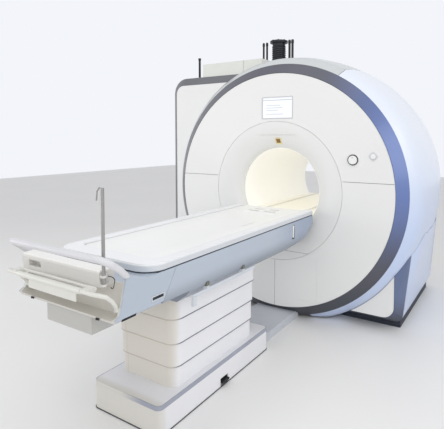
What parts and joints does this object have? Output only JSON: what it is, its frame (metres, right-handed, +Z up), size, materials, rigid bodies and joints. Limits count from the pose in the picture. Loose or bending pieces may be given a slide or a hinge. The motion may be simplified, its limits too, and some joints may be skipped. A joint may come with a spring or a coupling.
{
  "type": "mri scanner",
  "caption": "Ring-faced magnetic resonance scanner with a wide patient bore, side tower and foot, roof pipes, and a lifting patient table whose top slides into the bore.",
  "frame": {"origin": "on the floor, under the isocentre, which is the middle of the bore", "axes": "+Y along the bore from the table side to the rear, +Z up, +X to the side of the controls"},
  "size_m": [2.409, 3.609, 2.425],
  "materials": {
    "vessel_steel": "satin",
    "frame_grey": "satin",
    "coil_copper": "matte",
    "coil_amber": "matte",
    "liner_cream": "satin",
    "bridge_cream": "satin",
    "glide_white": "satin",
    "face_white": "satin",
    "barrel_white": "gloss",
    "ring_slate": "satin",
    "trim_grey": "satin",
    "shoulder_grey": "satin",
    "kick_dark": "matte",
    "screen_frame": "gloss",
    "screen_glass": "gloss",
    "control_dark": "satin",
    "control_white": "gloss",
    "lens_amber": "gloss",
    "pipe_black": "matte",
    "pipe_dark": "satin",
    "duct_grey": "satin",
    "plinth_white": "satin",
    "plinth_trim": "satin",
    "sleeve_white": "satin",
    "column_steel": "satin",
    "table_blue": "satin",
    "table_line": "matte",
    "rim_white": "satin",
    "top_white": "satin",
    "box_grey": "satin",
    "tray_grey": "satin",
    "bumper_grey": "satin",
    "handle_cream": "satin",
    "pole_steel": "satin",
    "rail_steel": "satin"
  },
  "bodies": {
    "gantry": {"base_frame": "frame_grey", "magnet_vessel": "vessel_steel", "gradient_coil": "coil_copper", "body_coil": "coil_amber", "bore_liner": "liner_cream", "bore_bridge": "bridge_cream", "bridge_glides": "glide_white", "front_funnel": "face_white", "rear_funnel": "face_white", "face_upper": "face_white", "face_lower_left": "face_white", "face_lower_right": "face_white", "trim_ring": "ring_slate", "barrel_cover_top": "barrel_white", "barrel_cover_right": "barrel_white", "barrel_cover_left": "barrel_white", "rear_cover": "face_white", "tower_cover": "face_white", "tower_panel": "face_white", "tower_trim": "trim_grey", "foot_cover": "barrel_white", "foot_panel": "face_white", "foot_trim": "ring_slate", "kick_frame": "kick_dark", "shoulder_cover": "shoulder_grey", "turret_cover": "shoulder_grey", "display_housing": "screen_frame", "display_glass": "screen_glass", "knob_bezel": "control_dark", "laser_window": "lens_amber", "quench_pipe": "pipe_dark", "quench_flange": "pipe_dark", "service_lines": "pipe_black", "floor_duct": "duct_grey", "table_base": "frame_grey", "plinth": "plinth_white", "plinth_trim": "plinth_trim", "sleeve_1": "sleeve_white", "column_tubes": "column_steel"},
    "table": {"sleeve_4": "sleeve_white", "column_rams": "column_steel", "table_frame": "frame_grey", "table_cover": "table_blue", "end_cover": "table_blue", "seam_strip": "table_line", "table_rim": "rim_white", "end_box": "box_grey", "lower_box": "tray_grey", "bumper_bar": "bumper_grey", "accessory_rail": "rail_steel"},
    "jog_knob": {"jog_knob": "control_white"},
    "push_button": {"push_button": "control_white"},
    "foot_pedal": {"foot_pedal": "pipe_black"},
    "sleeve_2": {"sleeve_2": "sleeve_white"},
    "sleeve_3": {"sleeve_3": "sleeve_white"},
    "column_stages": {"column_stages": "column_steel"},
    "tabletop": {"tabletop": "top_white"},
    "transport_handle": {"transport_handle": "handle_cream"},
    "drip_pole": {"drip_pole": "pole_steel"},
    "release_lever": {"release_lever": "control_white"}
  },
  "joints": [
    {"name": "table_lift", "type": "slide", "parent": "gantry", "child": "table", "axis": [0, 0, 1], "range_m": [-0.33, 0]},
    {"name": "sleeve_2_lift", "type": "slide", "parent": "gantry", "child": "sleeve_2", "axis": [0, 0, 1], "range_m": [-0.11001, 0]},
    {"name": "sleeve_3_lift", "type": "slide", "parent": "gantry", "child": "sleeve_3", "axis": [0, 0, 1], "range_m": [-0.22001, 0]},
    {"name": "column_stage_lift", "type": "slide", "parent": "gantry", "child": "column_stages", "axis": [0, 0, 1], "range_m": [-0.165, 0]},
    {"name": "tabletop_slide", "type": "slide", "parent": "table", "child": "tabletop", "axis": [0, 1, 0], "range_m": [0, 1.5]},
    {"name": "jog_knob_turn", "type": "hinge", "parent": "gantry", "child": "jog_knob", "pos_m": [0.654, -0.75, 1.318], "axis": [0, -1, 0], "continuous": true},
    {"name": "button_push", "type": "slide", "parent": "gantry", "child": "push_button", "axis": [0, 1, 0], "range_m": [0, 0.004], "stiffness_N_per_m": 900, "springref_m": -0.002},
    {"name": "pedal_press", "type": "hinge", "parent": "gantry", "child": "foot_pedal", "pos_m": [0.2165, -1.855, 0.027], "axis": [0, 1, 0], "range_deg": [0, 6], "stiffness_Nm_per_rad": 6, "springref_deg": -8.59},
    {"name": "handle_swing", "type": "hinge", "parent": "table", "child": "transport_handle", "pos_m": [0, -2.74, 0.768], "axis": [1, 0, 0], "range_deg": [0, 70]},
    {"name": "pole_swivel", "type": "hinge", "parent": "table", "child": "drip_pole", "pos_m": [0.276, -2.78, 1], "axis": [0, 0, 1], "continuous": true},
    {"name": "lever_pull", "type": "hinge", "parent": "table", "child": "release_lever", "pos_m": [0.337, -1.107, 0.841], "axis": [0, -1, 0], "range_deg": [0, 35], "stiffness_Nm_per_rad": 0.8, "springref_deg": -11.46}
  ],
  "couplings": [
    {"joint": "sleeve_2_lift", "follows": "table_lift", "ratio": 0.33333},
    {"joint": "sleeve_3_lift", "follows": "table_lift", "ratio": 0.66667},
    {"joint": "column_stage_lift", "follows": "table_lift", "ratio": 0.5}
  ]
}
